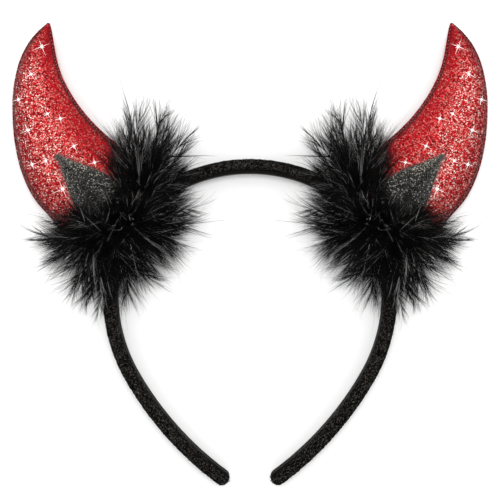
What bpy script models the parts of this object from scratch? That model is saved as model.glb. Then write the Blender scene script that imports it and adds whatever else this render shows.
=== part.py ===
"""Devil horns headband: a springy padded band with two padded glitter horns, each standing in a ball of
marabou feathers with one pointed leaf of black glitter felt in front of it.

Metres, +Z up. The band lies on its back edge on Z = 0, as it lies on a table: +Y points to the horn tips
and +Z is the side that shows. Left and right are as seen from the front, so the left half is the one at -X.
It is modelled, and the right half is its mirror image across X = 0.
"""

import math
import random

import bmesh
import bpy
from mathutils import Vector

MM = 0.001

# Gap between pieces that lie against each other
SEAT_GAP = 0.3 * MM

# Points closer than this are one point
WELD = 0.01 * MM

# Edges sharper than this many degrees stay sharp
SHARP_ANGLE = 35.0

MATERIALS = {
    # name: colour, roughness, metallic
    "band_glitter_fabric": ((0.018, 0.016, 0.015), 0.75, 0.0),
    "lining_ribbon": ((0.03, 0.028, 0.027), 0.55, 0.0),
    "horn_glitter_fabric": ((0.58, 0.03, 0.03), 0.4, 0.3),
    "leaf_glitter_felt": ((0.03, 0.03, 0.028), 0.6, 0.0),
    "marabou": ((0.008, 0.008, 0.008), 0.6, 0.0),
}

# Band: a padded strip, 11 mm from front to back, bent into a closed-in horseshoe
BAND_WIDTH = 11.0 * MM
BAND_THICKNESS = 4.5 * MM
BAND_CORNER = 1.6 * MM
BAND_CORNER_POINTS = 3
BAND_END_ROUNDING = 4.5 * MM
BAND_STATION = 5.0 * MM
# Stations in a rounded end, as shares of the rounding that are left before the tip
END_SHARES = (1.0, 0.62, 0.34, 0.14, 0.03)
CROWN_Y = 39.2 * MM
BAND_ARCS = (
    # stretch, radius of the centre line in mm, sweep in degrees, from the crown down one side
    ("crown", 71.9, 22.3),
    ("shoulder", 56.0, 66.3),
    ("side", 71.6, 31.1),
    ("arm", 145.1, 25.2),
)

# Lining: a smooth ribbon along the inner face of the band
LINING_WIDTH = 8.4 * MM
LINING_THICKNESS = 0.7 * MM
LINING_SHORT_OF_END = 3.5 * MM
LINING_END_ROUNDING = 3.0 * MM

# Horn: a padded crescent, from the band to the tip
HORN_MID_Z = 6.5 * MM
HORN_ROOT_RUNS = (75.0 * MM, 44.0 * MM)
HORN_ROOT_HALF_THICKNESS = 4.6 * MM
HORN_RING_POINTS = 16
HORN_STEPS_PER_SECTION = 2
# Exponent of the sine round a section: under 1 it fills the padding out towards the edges
HORN_FILL_POWER = 0.8
HORN_SECTIONS = (
    # convex edge x, y, concave edge x, y, half thickness, all in mm
    (-77.8, 5.0, -48.4, 38.4, 5.4),
    (-86.2, 14.4, -55.0, 45.5, 5.6),
    (-95.0, 24.6, -62.5, 51.6, 5.7),
    (-100.4, 36.2, -69.5, 58.4, 5.7),
    (-103.2, 48.3, -75.2, 65.3, 5.5),
    (-104.3, 60.9, -79.4, 71.9, 5.1),
    (-103.9, 72.6, -82.5, 78.2, 4.5),
    (-101.7, 83.2, -84.6, 84.6, 3.8),
    (-98.1, 91.3, -85.9, 91.2, 3.1),
    (-93.7, 97.1, -86.8, 96.7, 2.2),
    (-90.7, 99.8, -87.4, 99.6, 1.4),
)
HORN_TIP = (-88.3, 101.3)

# Leaf: a pointed scrap of felt that lies on the front of the horn, its root under the feathers
LEAF_ROOT = (-59.0, 14.0)
LEAF_HEADING = 130.8
LEAF_THICKNESS = 1.0 * MM
LEAF_STAND_OFF = 0.4 * MM
LEAF_FOLD = 0.6 * MM
LEAF_COLUMNS = 6
# The feathers are cut away this much further under the leaf
LEAF_CUT_DEEPER = 0.8 * MM
LEAF_ROWS = (
    # along the leaf from its root, width to its left, width to its right, in mm
    (0.0, 3.0, 4.0),
    (4.0, 6.4, 8.6),
    (11.0, 8.8, 12.0),
    (16.0, 8.3, 11.3),
    (20.5, 7.0, 9.7),
    (25.0, 5.2, 7.4),
    (30.0, 3.0, 4.5),
    (34.5, 1.2, 2.2),
    (37.6, 0.15, 0.3),
)

# Feather ball: a dome that the floor flattens, with pointed locks all over it. The dome, the necks and the
# tips of the locks are at shares of PUFF_REACH
PUFF_CENTRE = (-55.0, 17.5, 12.0)
PUFF_UP = 21.0
PUFF_DOME = 0.62
PUFF_DETAIL = 3
PUFF_SEED = 5
# A lock narrows to this share of its foot at its neck
LOCK_NECK = 0.55
LOCK_NECK_REACH = 0.84
LOCK_TIP_REACH = (0.98, 1.14)
LOCK_LEAN = 0.05
LOCK_LEAN_DOWN = 0.6
LOCK_NECK_LEAN = 0.3
LOCK_LOWEST = -0.45
PUFF_REACH = (
    # heading in degrees from +X towards +Y, reach of the locks in mm
    (0.0, 34.5),
    (30.0, 36.5),
    (60.0, 42.0),
    (80.0, 38.0),
    (95.0, 30.0),
    (115.0, 24.0),
    (140.0, 22.0),
    (160.0, 24.0),
    (175.0, 33.0),
    (190.0, 40.0),
    (215.0, 42.0),
    (240.0, 40.0),
    (270.0, 38.0),
    (300.0, 33.5),
    (330.0, 33.5),
)
# Headings at which the horn stands, and the height above which a lock passes over it
HORN_SECTOR = (92.0, 172.0)
HORN_CLEAR_Z = 15.0 * MM
# No lock stands this near the band's centre line below this height; the line is tested every few mm
BAND_CLEAR_Z = 12.0 * MM
BAND_CLEAR_SIDE = 3.2 * MM
BAND_TEST_RUN = 120
BAND_TEST_STEP = 3
FLOOR_SIDE = 400.0 * MM


def clear_scene():
    for obj in list(bpy.data.objects):
        bpy.data.objects.remove(obj, do_unlink=True)


def new_collection(name):
    collection = bpy.data.collections.new(name)
    bpy.context.scene.collection.children.link(collection)
    return collection


def make_material(name):
    colour, roughness, metallic = MATERIALS[name]
    material = bpy.data.materials.new(name)
    material.use_nodes = True
    shader = material.node_tree.nodes["Principled BSDF"]
    shader.inputs["Base Color"].default_value = (*colour, 1.0)
    shader.inputs["Roughness"].default_value = roughness
    shader.inputs["Metallic"].default_value = metallic
    return material


def add_object(name, mesh, collection, material=None):
    obj = bpy.data.objects.new(name, mesh)
    collection.objects.link(obj)
    if material:
        mesh.materials.clear()
        mesh.materials.append(material)
    return obj


def smooth_round(mesh):
    mesh.shade_smooth()
    mesh.set_sharp_from_angle(angle=math.radians(SHARP_ANGLE))


def catmull_rom(a, b, c, d, t):
    """The value at t, 0 to 1, between b and c, where a and d are the values before and after them."""
    square = (2 * a - 5 * b + 4 * c - d) * t**2
    cube = (3 * b - a - 3 * c + d) * t**3
    return 0.5 * (2 * b + (c - a) * t + square + cube)


def spline_through(rows, steps):
    """Rows of numbers with a smooth curve through them, a number of steps between each two rows."""
    found = []
    for i in range(len(rows) - 1):
        before = rows[max(i - 1, 0)]
        start, end = rows[i], rows[i + 1]
        after = rows[min(i + 2, len(rows) - 1)]
        for step in range(steps):
            columns = zip(before, start, end, after)
            found.append(tuple(catmull_rom(*column, step / steps) for column in columns))
    found.append(tuple(rows[-1]))
    return found


def band_half_run():
    return sum(radius * MM * math.radians(sweep) for _, radius, sweep in BAND_ARCS)


def band_point(run, outward=0.0):
    """Point of the left half's centre line, a run from the crown, moved outward from the head.

    Past the last arc the line goes straight on.
    """
    x, y, heading = 0.0, CROWN_Y, math.pi
    for _, radius_mm, sweep in BAND_ARCS:
        radius = radius_mm * MM
        turn = min(run / radius, math.radians(sweep))
        centre_x = x - math.sin(heading) * radius
        centre_y = y + math.cos(heading) * radius
        heading += turn
        x = centre_x + math.sin(heading) * radius
        y = centre_y - math.cos(heading) * radius
        run -= turn * radius
    x += run * math.cos(heading)
    y += run * math.sin(heading)
    return Vector((x + outward * math.sin(heading), y - outward * math.cos(heading), 0.0))


def strip_stations(end_run, rounding):
    """(run, scale) of the stations down the left half, finer where the end is rounded."""
    stations = []
    run = BAND_STATION / 2
    while run < end_run - rounding:
        stations.append((run, 1.0))
        run += BAND_STATION
    for share in END_SHARES:
        from_end = share * rounding
        stations.append((end_run - from_end, math.sqrt(1 - (1 - share) ** 2)))
    return stations


def rounded_rectangle(half_x, half_y, corner, per_corner):
    points = []
    for quarter, (side_x, side_y) in enumerate(((1, 1), (-1, 1), (-1, -1), (1, -1))):
        for step in range(per_corner):
            angle = math.radians(90 * quarter + 90 * step / max(per_corner - 1, 1))
            points.append((
                side_x * (half_x - corner) + corner * math.cos(angle),
                side_y * (half_y - corner) + corner * math.sin(angle),
            ))
    return points


def mesh_from_curve(obj, name, collection, material=None):
    """The curve's evaluated mesh as a new object, its caps welded; the curve is removed."""
    bpy.context.view_layer.update()
    graph = bpy.context.evaluated_depsgraph_get()
    mesh = bpy.data.meshes.new_from_object(obj.evaluated_get(graph))
    work = bmesh.new()
    work.from_mesh(mesh)
    bmesh.ops.remove_doubles(work, verts=work.verts, dist=WELD)
    bmesh.ops.recalc_face_normals(work, faces=work.faces)
    work.to_mesh(mesh)
    work.free()
    made = add_object(name, mesh, collection, material)
    made.matrix_world = obj.matrix_world.copy()
    bpy.data.objects.remove(obj, do_unlink=True)
    return made


def head_strip(name, collection, material, section, outward, end_run, rounding):
    """A strip bent round the head: a section carried along the band's arcs, thinned at both ends."""
    helper = bpy.data.curves.new(name + "_section", "CURVE")
    helper.dimensions = "2D"
    outline = helper.splines.new("POLY")
    outline.points.add(len(section) - 1)
    for point, (x, y) in zip(outline.points, section):
        point.co = (x, y, 0.0, 1.0)
    outline.use_cyclic_u = True
    section_obj = bpy.data.objects.new(name + "_section", helper)
    collection.objects.link(section_obj)

    left = [(band_point(run, outward), scale) for run, scale in strip_stations(end_run, rounding)]
    right = [(Vector((-point.x, point.y, 0.0)), scale) for point, scale in left]
    stations = list(reversed(left)) + right

    path = bpy.data.curves.new(name + "_path", "CURVE")
    path.dimensions = "2D"
    path.bevel_mode = "OBJECT"
    path.bevel_object = section_obj
    path.use_fill_caps = True
    spline = path.splines.new("POLY")
    spline.points.add(len(stations) - 1)
    for point, (place, scale) in zip(spline.points, stations):
        point.co = (place.x, place.y, 0.0, 1.0)
        point.radius = scale
    path_obj = bpy.data.objects.new(name + "_path", path)
    collection.objects.link(path_obj)
    path_obj.location.z = BAND_WIDTH / 2
    strip = mesh_from_curve(path_obj, name, collection, material)
    bpy.data.objects.remove(section_obj, do_unlink=True)
    smooth_round(strip.data)
    return strip


def make_band(collection, material, name="band", grow=0.0):
    half_thickness = BAND_THICKNESS / 2 + grow
    half_width = BAND_WIDTH / 2 + grow
    section = rounded_rectangle(half_thickness, half_width, BAND_CORNER, BAND_CORNER_POINTS)
    return head_strip(
        name, collection, material, section, 0.0, band_half_run() + grow, BAND_END_ROUNDING
    )


def make_lining(collection, material, name="band_lining", grow=0.0):
    inward = BAND_THICKNESS / 2 + SEAT_GAP + LINING_THICKNESS / 2
    section = rounded_rectangle(LINING_THICKNESS / 2 + grow, LINING_WIDTH / 2 + grow, 0.0, 1)
    end_run = band_half_run() - LINING_SHORT_OF_END + grow
    return head_strip(name, collection, material, section, -inward, end_run, LINING_END_ROUNDING)


def padded_round(half_thickness):
    """(u, z) round a padded section: u is the cosine, and z follows a power of the sine."""
    found = []
    for k in range(HORN_RING_POINTS):
        angle = 2 * math.pi * k / HORN_RING_POINTS
        lift = math.sin(angle)
        puffed = math.copysign(abs(lift) ** HORN_FILL_POWER, lift) * half_thickness
        found.append((math.cos(angle), HORN_MID_Z + puffed))
    return found


def horn_ring(edge_out, edge_in, half_thickness, grow):
    """A padded section between the two edges of the crescent, with u from -1 at the outer edge to 1."""
    ring = []
    across = edge_in - edge_out
    middle = (edge_in + edge_out) / 2
    half_width = across.length / 2 + grow
    for u, z in padded_round(half_thickness + grow):
        place = middle + across.normalized() * half_width * u
        ring.append(Vector((place.x, place.y, z)))
    return ring


def horn_root_ring(grow):
    """The ring at the band: it follows the band's outer face, so that the horn sits on it."""
    ring = []
    low, high = HORN_ROOT_RUNS
    stand_off = BAND_THICKNESS / 2 + SEAT_GAP
    for u, z in padded_round(HORN_ROOT_HALF_THICKNESS + grow):
        run = (low + high) / 2 + (high - low) / 2 * u
        place = band_point(run, stand_off)
        ring.append(Vector((place.x, place.y, z)))
    return ring


def make_horn(name, collection, material, grow=0.0):
    rows = spline_through(HORN_SECTIONS, HORN_STEPS_PER_SECTION)
    rings = [horn_root_ring(grow)]
    for out_x, out_y, in_x, in_y, half_thickness in rows:
        edge_out = Vector((out_x, out_y, 0.0)) * MM
        edge_in = Vector((in_x, in_y, 0.0)) * MM
        rings.append(horn_ring(edge_out, edge_in, half_thickness * MM, grow))
    work = bmesh.new()
    loops = [[work.verts.new(place) for place in ring] for ring in rings]
    count = HORN_RING_POINTS
    for near, far in zip(loops, loops[1:]):
        for k in range(count):
            work.faces.new((near[k], near[(k + 1) % count], far[(k + 1) % count], far[k]))
    root = loops[0]
    for k in range(1, count // 2 - 1):
        work.faces.new((root[k], root[count - k], root[count - k - 1], root[k + 1]))
    work.faces.new((root[0], root[count - 1], root[1]))
    half = count // 2
    work.faces.new((root[half], root[half - 1], root[half + 1]))
    tip = work.verts.new((HORN_TIP[0] * MM, HORN_TIP[1] * MM + grow, HORN_MID_Z))
    for k in range(count):
        work.faces.new((loops[-1][k], loops[-1][(k + 1) % count], tip))
    bmesh.ops.recalc_face_normals(work, faces=work.faces)
    mesh = bpy.data.meshes.new(name)
    work.to_mesh(mesh)
    work.free()
    smooth_round(mesh)
    return add_object(name, mesh, collection, material)


def make_leaf(name, collection, material, grow=0.0, deeper=0.0):
    """A sheet on a grid, rows along the leaf and columns across it, folded up a little along its middle."""
    heading = math.radians(LEAF_HEADING)
    along_axis = Vector((math.cos(heading), math.sin(heading), 0.0))
    left_axis = Vector((-math.sin(heading), math.cos(heading), 0.0))
    root = Vector((LEAF_ROOT[0] * MM, LEAF_ROOT[1] * MM, 0.0))
    horn_top = HORN_MID_Z + max(row[4] for row in HORN_SECTIONS) * MM
    under = horn_top + LEAF_STAND_OFF - grow - deeper
    work = bmesh.new()
    lines = []
    for along, left, right in LEAF_ROWS:
        line = []
        for column in range(LEAF_COLUMNS + 1):
            share = column / LEAF_COLUMNS
            side = (left * MM + grow) * (1 - share) - (right * MM + grow) * share
            fold = LEAF_FOLD * (1 - abs(2 * share - 1))
            stretch = grow if along == LEAF_ROWS[-1][0] else (-grow if along == 0 else 0.0)
            place = root + along_axis * (along * MM + stretch) + left_axis * side
            line.append(work.verts.new((place.x, place.y, under + fold)))
        lines.append(line)
    for near, far in zip(lines, lines[1:]):
        for k in range(LEAF_COLUMNS):
            work.faces.new((near[k + 1], near[k], far[k], far[k + 1]))
    bmesh.ops.recalc_face_normals(work, faces=work.faces)
    if sum(face.normal.z for face in work.faces) < 0:
        bmesh.ops.reverse_faces(work, faces=work.faces)
    mesh = bpy.data.meshes.new(name)
    work.to_mesh(mesh)
    work.free()
    leaf = add_object(name, mesh, collection, material)
    wall = leaf.modifiers.new("felt", "SOLIDIFY")
    wall.thickness = LEAF_THICKNESS + 2 * grow + deeper
    wall.offset = 1.0
    return leaf


def puff_reach(heading):
    """Reach of the locks at a heading, from the table, eased between its rows."""
    rows = PUFF_REACH + ((PUFF_REACH[0][0] + 360.0, PUFF_REACH[0][1]),)
    heading %= 360.0
    for (start, near), (end, far) in zip(rows, rows[1:]):
        if start <= heading <= end:
            t = (heading - start) / (end - start)
            return near + (far - near) * t * t * (3 - 2 * t)
    return rows[0][1]


def puff_point(direction, share):
    """The point at a share of the reach in a direction from the middle of the ball."""
    heading = math.degrees(math.atan2(direction.y, direction.x))
    level = math.hypot(direction.x, direction.y)
    top = PUFF_UP + (puff_reach(heading) - PUFF_UP) * level**2
    return Vector((
        (PUFF_CENTRE[0] + share * direction.x * top) * MM,
        (PUFF_CENTRE[1] + share * direction.y * top) * MM,
        (PUFF_CENTRE[2] + share * direction.z * PUFF_UP) * MM,
    ))


def lock_is_free(direction, band_spots):
    """True where a lock can stand: not on the underside, inside the horn's slab or along the band."""
    heading = math.degrees(math.atan2(direction.y, direction.x)) % 360.0
    tip = puff_point(direction, 1.0)
    in_horn = HORN_SECTOR[0] < heading < HORN_SECTOR[1] and tip.z < HORN_CLEAR_Z
    if direction.z < LOCK_LOWEST or in_horn:
        return False
    for place in (puff_point(direction, LOCK_NECK_REACH), tip):
        beside = min((place.xy - spot.xy).length for spot in band_spots)
        if place.z < BAND_CLEAR_Z and beside < BAND_CLEAR_SIDE:
            return False
    return True


def make_puff_blank(name, collection, material):
    """The dome with its locks: each free face of a ball is drawn out into a leaning, pointed lock."""
    shape = random.Random(PUFF_SEED)
    band_spots = [band_point(run * MM) for run in range(0, BAND_TEST_RUN, BAND_TEST_STEP)]
    work = bmesh.new()
    bmesh.ops.create_icosphere(work, subdivisions=PUFF_DETAIL, radius=1.0)
    for face in list(work.faces):
        corners = [vert.co.normalized() for vert in face.verts]
        middle = sum(corners, Vector()).normalized()
        if not lock_is_free(middle, band_spots):
            continue
        sideways = (shape.uniform(-1, 1), shape.uniform(-1, 1))
        lean = Vector((*sideways, shape.uniform(-LOCK_LEAN_DOWN, 1))) * LOCK_LEAN
        tip_share = shape.uniform(*LOCK_TIP_REACH)
        neck = []
        for corner in corners:
            towards = middle.lerp(corner, LOCK_NECK) + lean * LOCK_NECK_LEAN
            neck.append(work.verts.new(towards.normalized() * LOCK_NECK_REACH))
        tip = work.verts.new((middle + lean).normalized() * tip_share)
        verts = list(face.verts)
        work.faces.remove(face)
        for k in range(3):
            following = (k + 1) % 3
            work.faces.new((verts[k], verts[following], neck[following], neck[k]))
            work.faces.new((neck[k], neck[following], tip))
    for vert in work.verts:
        share = vert.co.length
        is_dome = abs(share - 1.0) < 1e-6
        vert.co = puff_point(vert.co.normalized(), PUFF_DOME if is_dome else share)
    bmesh.ops.recalc_face_normals(work, faces=work.faces)
    mesh = bpy.data.meshes.new(name)
    work.to_mesh(mesh)
    work.free()
    return add_object(name, mesh, collection, material)


def keep_largest_island(mesh):
    """Drops any crumb that the cuts left loose."""
    work = bmesh.new()
    work.from_mesh(mesh)
    unseen = set(work.faces)
    islands = []
    while unseen:
        edge_faces = [unseen.pop()]
        island = set(edge_faces)
        while edge_faces:
            for edge in edge_faces.pop().edges:
                for face in edge.link_faces:
                    if face in unseen:
                        unseen.discard(face)
                        island.add(face)
                        edge_faces.append(face)
        islands.append(island)
    islands.sort(key=len, reverse=True)
    loose = [face for island in islands[1:] for face in island]
    bmesh.ops.delete(work, geom=loose, context="FACES")
    bmesh.ops.delete(work, geom=[vert for vert in work.verts if not vert.link_faces], context="VERTS")
    work.to_mesh(mesh)
    work.free()


def cut_by(obj, cutters):
    """Cuts obj by each cutter with a Boolean, and keeps the result as its mesh."""
    for cutter in cutters:
        cutter.hide_render = True
        cutter.display_type = "WIRE"
        cut = obj.modifiers.new("clear_of_" + cutter.name, "BOOLEAN")
        cut.operation = "DIFFERENCE"
        cut.object = cutter
    bpy.context.view_layer.update()
    graph = bpy.context.evaluated_depsgraph_get()
    mesh = bpy.data.meshes.new_from_object(obj.evaluated_get(graph))
    obj.modifiers.clear()
    obj.data = mesh
    keep_largest_island(mesh)


def floor_cutter(collection):
    work = bmesh.new()
    bmesh.ops.create_cube(work, size=FLOOR_SIDE)
    bmesh.ops.translate(work, verts=work.verts, vec=(0.0, 0.0, -FLOOR_SIDE / 2))
    mesh = bpy.data.meshes.new("floor_cutter")
    work.to_mesh(mesh)
    work.free()
    return add_object("floor_cutter", mesh, collection)


def mirrored_copy(obj, name, collection):
    """The right-hand twin of a left-hand piece."""
    bpy.context.view_layer.update()
    graph = bpy.context.evaluated_depsgraph_get()
    mesh = bpy.data.meshes.new_from_object(obj.evaluated_get(graph))
    for vert in mesh.vertices:
        vert.co.x = -vert.co.x
    mesh.flip_normals()
    return add_object(name, mesh, collection)


def build():
    clear_scene()
    parts = new_collection("devil_horns_headband")
    cutters = new_collection("cutters")
    make_band(parts, make_material("band_glitter_fabric"))
    make_lining(parts, make_material("lining_ribbon"))
    horn = make_horn("horn_left", parts, make_material("horn_glitter_fabric"))
    leaf = make_leaf("leaf_left", parts, make_material("leaf_glitter_felt"))
    puff = make_puff_blank("feather_puff_left", parts, make_material("marabou"))
    cut_by(puff, [
        make_band(cutters, None, "band_cutter", grow=SEAT_GAP),
        make_lining(cutters, None, "lining_cutter", grow=SEAT_GAP),
        make_horn("horn_cutter", cutters, None, grow=SEAT_GAP),
        make_leaf("leaf_cutter", cutters, None, grow=SEAT_GAP, deeper=LEAF_CUT_DEEPER),
        floor_cutter(cutters),
    ])
    for left in (horn, leaf, puff):
        mirrored_copy(left, left.name.replace("_left", "_right"), parts)


build()
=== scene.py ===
import math

import bpy
import numpy as np
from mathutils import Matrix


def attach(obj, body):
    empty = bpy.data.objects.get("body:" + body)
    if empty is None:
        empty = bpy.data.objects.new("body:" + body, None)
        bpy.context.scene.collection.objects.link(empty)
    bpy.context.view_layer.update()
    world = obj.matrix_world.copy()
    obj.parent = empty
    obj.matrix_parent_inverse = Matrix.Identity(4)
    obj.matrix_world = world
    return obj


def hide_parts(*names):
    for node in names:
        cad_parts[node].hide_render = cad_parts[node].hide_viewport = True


mm = 0.001
tiny = 1e-12  # metres, a length that counts as none
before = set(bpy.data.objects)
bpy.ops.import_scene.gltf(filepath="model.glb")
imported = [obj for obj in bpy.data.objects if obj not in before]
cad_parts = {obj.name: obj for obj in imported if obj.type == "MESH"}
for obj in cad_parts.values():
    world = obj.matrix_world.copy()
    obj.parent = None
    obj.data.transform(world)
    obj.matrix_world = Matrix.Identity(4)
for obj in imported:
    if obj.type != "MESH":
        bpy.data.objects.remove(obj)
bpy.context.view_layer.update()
print("frame loaded:", len(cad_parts), "nodes")

# Shared tools for shaders


class Wire:
    # A node socket that takes part in Python expressions; each operator adds one Math node
    def __init__(self, tree, socket):
        self.tree = tree
        self.socket = socket

    def joined(self, operation, first, second):
        return addNode(self.tree, "ShaderNodeMath", {"operation": operation}, {0: first, 1: second})

    def __add__(self, other):
        return self.joined("ADD", self, other)

    def __radd__(self, other):
        return self.joined("ADD", other, self)

    def __sub__(self, other):
        return self.joined("SUBTRACT", self, other)

    def __rsub__(self, other):
        return self.joined("SUBTRACT", other, self)

    def __mul__(self, other):
        return self.joined("MULTIPLY", self, other)

    def __rmul__(self, other):
        return self.joined("MULTIPLY", other, self)

    def __gt__(self, other):
        return self.joined("GREATER_THAN", self, other)

    def __pow__(self, other):
        return self.joined("POWER", self, other)


def addNode(tree, kind, settings=None, inputs=None, output=0):
    # Adds a node: settings first (a "ramp" setting is a list of stops), then values or wires for its inputs
    node = tree.nodes.new(kind)
    for name, value in (settings or {}).items():
        if name == "ramp":
            fillRamp(node.color_ramp, value)
        else:
            setattr(node, name, value)
    for name, value in (inputs or {}).items():
        if isinstance(value, Wire):
            tree.links.new(value.socket, node.inputs[name])
        else:
            node.inputs[name].default_value = value
    return Wire(tree, node.outputs[output])


def fillRamp(ramp, stops):
    # Flat steps of colour, so that each flake keeps one shade
    ramp.interpolation = "CONSTANT"
    while len(ramp.elements) > 1:
        ramp.elements.remove(ramp.elements[-1])
    for index, (place, colour) in enumerate(stops):
        stop = ramp.elements[0] if index == 0 else ramp.elements.new(place)
        stop.position = place
        stop.color = (*colour, 1.0)


def mixColour(tree, factor, first, second):
    # Mix node on colours: first where the factor is 0, second where it is 1
    inputs = {0: factor, 6: first if isinstance(first, Wire) else (*first, 1.0)}
    inputs[7] = second if isinstance(second, Wire) else (*second, 1.0)
    return addNode(tree, "ShaderNodeMix", {"data_type": "RGBA"}, inputs, 2)


def newMaterial(name, constants):
    # A Principled material with its plain values set on the shader's own sockets
    material = bpy.data.materials.new(name)
    material.use_nodes = True
    tree = material.node_tree
    shader = tree.nodes["Principled BSDF"]
    for socket, value in constants.items():
        shader.inputs[socket].default_value = value
    return material, tree, shader


def feed(tree, shader, links):
    # Wires into the shader's inputs, by their names
    for socket, wire in links.items():
        tree.links.new(wire.socket, shader.inputs[socket])


def objectPlace(tree):
    # Object coordinates in metres, the same for every piece because each sits at the origin
    return addNode(tree, "ShaderNodeTexCoord", output=3)


def tintOf(tree):
    # The colour attribute that a piece's mesh carries
    return addNode(tree, "ShaderNodeVertexColor", {"layer_name": "tint"})


def noise(tree, place, scale, detail=3.0):
    # Soft blotches from 0 to 1, about 1 / scale metres across
    return addNode(tree, "ShaderNodeTexNoise", {}, {"Vector": place, "Scale": scale, "Detail": detail})


def cells(tree, place, scale):
    # A random colour for each Voronoi cell, about 1 / scale metres across
    return addNode(tree, "ShaderNodeTexVoronoi", {}, {"Vector": place, "Scale": scale}, 1)


def channel(tree, colour, index):
    # One number of a colour: 0 is red, 1 green and 2 blue
    return addNode(tree, "ShaderNodeSeparateColor", {}, {0: colour}, index)


def bumped(tree, height, strength, distance):
    # Normal that follows a height from 0 to 1; distance is in metres
    inputs = {"Strength": strength, "Distance": distance, "Height": height}
    return addNode(tree, "ShaderNodeBump", {}, inputs)


def vectorMath(tree, operation, inputs):
    # One Vector Math node
    return addNode(tree, "ShaderNodeVectorMath", {"operation": operation}, inputs)


def tiltedNormal(tree, cellColour, amount):
    # Surface normal with a random lean for each flake: N + amount x (colour - half), made unit length
    normal = addNode(tree, "ShaderNodeNewGeometry", output=1)
    lean = vectorMath(tree, "SUBTRACT", {0: cellColour, 1: (0.5, 0.5, 0.5)})
    scaled = vectorMath(tree, "SCALE", {0: lean, "Scale": amount})
    total = vectorMath(tree, "ADD", {0: normal, 1: scaled})
    return vectorMath(tree, "NORMALIZE", {0: total})


# Shared tools for meshes


def meshObject(name, points, faces, material, smooth=True, tint=None):
    # points is (n, 3) in metres; faces is a list of (m, k) index arrays, one array for each face size.
    # tint has a colour for each point, or for each of the equal bodies that the points make up
    mesh = bpy.data.meshes.new(name)
    sizes = np.concatenate([np.full(len(block), block.shape[1]) for block in faces])
    corners = np.concatenate([block.ravel() for block in faces]).astype(np.int32)
    mesh.vertices.add(len(points))
    mesh.vertices.foreach_set("co", np.ascontiguousarray(points, dtype=np.float32).ravel())
    mesh.loops.add(len(corners))
    mesh.loops.foreach_set("vertex_index", corners)
    mesh.polygons.add(len(sizes))
    starts = np.concatenate([[0], np.cumsum(sizes)[:-1]]).astype(np.int32)
    mesh.polygons.foreach_set("loop_start", starts)
    mesh.polygons.foreach_set("use_smooth", np.full(len(sizes), smooth))
    mesh.update(calc_edges=True)
    if tint is not None:
        layer = mesh.color_attributes.new("tint", "FLOAT_COLOR", "POINT")
        rgba = np.ones((len(points), 4), dtype=np.float32)
        rgba[:, :3] = np.repeat(tint, len(points) // len(tint), axis=0)
        layer.data.foreach_set("color", rgba.ravel())
    mesh.materials.append(material)
    made = bpy.data.objects.new(name, mesh)
    bpy.context.scene.collection.objects.link(made)
    return made


def gridFaces(rows, columns, closed):
    # Quads of a grid stored row by row; closed joins the last column to the first
    row = np.arange(rows - 1)[:, None]
    column = np.arange(columns if closed else columns - 1)[None, :]
    following = (column + 1) % columns
    near = row * columns
    far = near + columns
    quads = np.stack([near + column, near + following, far + following, far + column], axis=-1)
    return quads.reshape(-1, 4)


def ringTube(rings):
    # Closed body from (rows, columns, 3) rings: side quads, and a fan to a middle point at each end
    rows, columns, _ = rings.shape
    points = np.concatenate([rings.reshape(-1, 3), rings[:1].mean(1), rings[-1:].mean(1)])
    side = np.arange(columns)
    following = (side + 1) % columns
    last = (rows - 1) * columns
    start, end = rows * columns, rows * columns + 1
    startCap = np.stack([following, side, np.full(columns, start)], axis=-1)
    endCap = np.stack([last + side, last + following, np.full(columns, end)], axis=-1)
    return points, [gridFaces(rows, columns, True), np.concatenate([startCap, endCap])]


def flipped(faces):
    # Corners in the other order, so that the faces point the other way
    return [block[:, ::-1] for block in faces]


def mirrored(points):
    # (x, y, z) becomes (-x, y, z)
    return points * np.array([-1.0, 1.0, 1.0])


def unit(vectors):
    # Each vector divided by its length
    return vectors / np.maximum(np.linalg.norm(vectors, axis=-1, keepdims=True), tiny)


def across(vectors, rng):
    # A random unit vector at right angles to each vector
    return unit(np.cross(vectors, rng.normal(size=vectors.shape)))


def smoothRows(table, count):
    # Catmull-Rom through the rows of a table, sampled at count even steps
    table = np.asarray(table, dtype=float)
    place = np.linspace(0, len(table) - 1, count)
    index = np.minimum(place.astype(int), len(table) - 2)
    t = (place - index)[:, None]
    before, start = table[np.maximum(index - 1, 0)], table[index]
    end, after = table[index + 1], table[np.minimum(index + 2, len(table) - 1)]
    return 0.5 * (
        2 * start + (end - before) * t + (2 * before - 5 * start + 4 * end - after) * t**2
        + (3 * start - before - 3 * end + after) * t**3
    )


def ease(value, start, end):
    # 0 up to start, 1 from end on, and s x s x (3 - 2 s) between them
    step = np.clip((value - start) / (end - start), 0, 1)
    return step * step * (3 - 2 * step)


def strandShape(paths, radii):
    # Joined three-sided tapered tubes: paths is (n, k, 3), radii (n, k); the last point of each is its tip
    count, steps, _ = paths.shape
    along = unit(np.gradient(paths, axis=1))
    sideways = unit(np.cross(along, np.array([0.31, 0.17, 0.93])))  # any heading that few strands keep to
    upward = np.cross(along, sideways)
    angle = (np.arange(3) * 2 * math.pi / 3)[:, None]
    ring = sideways[:, :-1, None] * np.cos(angle) + upward[:, :-1, None] * np.sin(angle)
    tubes = paths[:, :-1, None] + ring * radii[:, :-1, None, None]
    points = np.concatenate([tubes.reshape(count, -1, 3), paths[:, -1:]], axis=1)
    each = points.shape[1]
    quads = gridFaces(steps - 1, 3, True)
    lastRing = (steps - 2) * 3
    side = np.arange(3)
    tip = np.stack([lastRing + side, lastRing + (side + 1) % 3, np.full(3, each - 1)], axis=-1)
    triangles = np.concatenate([tip, [[2, 1, 0]]])
    shift = (np.arange(count) * each)[:, None, None]
    return points.reshape(-1, 3), [(quads + shift).reshape(-1, 4), (triangles + shift).reshape(-1, 3)]


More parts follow.
